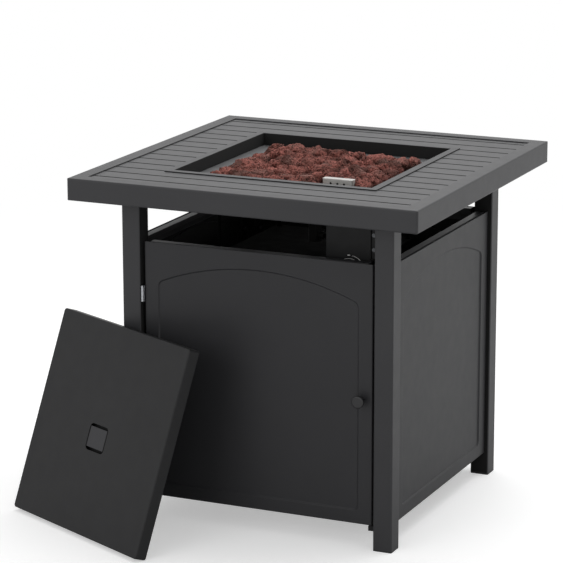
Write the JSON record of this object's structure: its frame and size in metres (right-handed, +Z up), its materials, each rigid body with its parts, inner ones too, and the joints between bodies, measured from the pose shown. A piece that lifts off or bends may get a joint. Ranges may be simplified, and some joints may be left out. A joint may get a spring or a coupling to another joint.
{
  "type": "gas fire pit table",
  "caption": "Square steel gas fire pit table with a slatted top, a burner well of lava rock, a cabinet with a hinged door, and a loose lid leaning on its leg.",
  "frame": {"origin": "on the floor under the middle of the square top", "axes": "+X to the right of a person facing the door, +Y to the back, +Z up"},
  "size_m": [0.8495, 0.878, 0.68],
  "materials": {
    "charcoal_coat": "satin powder coat",
    "black_coat": "matte heat-proof coat",
    "stainless": "brushed",
    "zinc_steel": "zinc plated",
    "brass": "turned",
    "cast_iron": "as cast",
    "black_plastic": "fine grain",
    "white_ceramic": "glazed",
    "lead_jacket": "matte",
    "lava_stone": "rough, porous"
  },
  "bodies": {
    "frame": {"border_rail_back": "charcoal_coat", "border_rail_front": "charcoal_coat", "border_rail_left": "charcoal_coat", "border_rail_right": "charcoal_coat", "burner_nut": "zinc_steel", "burner_pan": "black_coat", "control_panel": "black_coat", "control_screws": "zinc_steel", "cross_rails": "black_coat", "door_catch": "black_plastic", "door_rest": "black_coat", "electrode": "white_ceramic", "feed_pipe": "black_coat", "foot_caps": "black_plastic", "heat_shield": "black_coat", "hinge_leg_leaves": "zinc_steel", "hinge_pins": "zinc_steel", "hose_inlet": "brass", "igniter_cover": "stainless", "igniter_housing": "black_plastic", "igniter_lead": "lead_jacket", "igniter_nut": "zinc_steel", "lava_rocks": "lava_stone", "left_panel": "charcoal_coat", "leg_bolts": "zinc_steel", "leg_front_left": "charcoal_coat", "leg_front_right": "charcoal_coat", "leg_plates": "black_coat", "leg_rear_left": "charcoal_coat", "leg_rear_right": "charcoal_coat", "long_slats": "charcoal_coat", "lower_rails": "black_coat", "mixer_tube": "cast_iron", "orifice_elbow": "cast_iron", "panel_bracket": "charcoal_coat", "panel_screws": "zinc_steel", "panel_stiffeners": "charcoal_coat", "rear_panel": "charcoal_coat", "right_panel": "charcoal_coat", "ring_burner": "stainless", "shield_rods": "black_coat", "short_slats": "charcoal_coat", "support_rails": "black_coat", "tank_tray": "black_coat", "thermocouple": "stainless", "thermocouple_lead": "lead_jacket", "valve_body": "brass", "well_frame": "charcoal_coat"},
    "door": {"door_panel": "charcoal_coat", "door_stiffener": "charcoal_coat", "door_knob": "charcoal_coat", "knob_screw": "zinc_steel", "strike_plate": "zinc_steel", "hinge_door_leaves": "zinc_steel"},
    "lid": {"lid_shell": "charcoal_coat", "lid_grip": "charcoal_coat"},
    "stem": {"valve_stem": "zinc_steel"},
    "knob": {"control_knob": "black_plastic"},
    "button": {"igniter_button": "black_plastic"},
    "shutter": {"air_shutter": "black_coat"}
  },
  "joints": [
    {"name": "door_swing", "type": "hinge", "parent": "frame", "child": "door", "pos_m": [-0.2388, -0.2765, 0.2985], "axis": [0, 0, -1], "range_deg": [0, 85]},
    {"name": "lid_tip", "type": "hinge", "parent": "frame", "child": "lid", "pos_m": [-0.31565, -0.43753, 0], "axis": [0.8965, -0.4431, 0], "range_deg": [0, 108.8]},
    {"name": "valve_turn", "type": "hinge", "parent": "frame", "child": "stem", "pos_m": [0.167, -0.2198, 0.519], "axis": [0, -1, 0], "range_deg": [0, 210]},
    {"name": "knob_push", "type": "slide", "parent": "stem", "child": "knob", "axis": [0, 1, 0], "range_m": [0, 0.003], "stiffness_N_per_m": 600},
    {"name": "button_push", "type": "slide", "parent": "frame", "child": "button", "axis": [0, 1, 0], "range_m": [0, 0.0045], "stiffness_N_per_m": 800},
    {"name": "shutter_turn", "type": "hinge", "parent": "frame", "child": "shutter", "pos_m": [0, 0, 0.575], "axis": [0, 0, 1], "range_deg": [0, 60]}
  ],
  "couplings": [
    {"joint": "lid_tip", "follows": "door_swing", "ratio": 1.28}
  ]
}
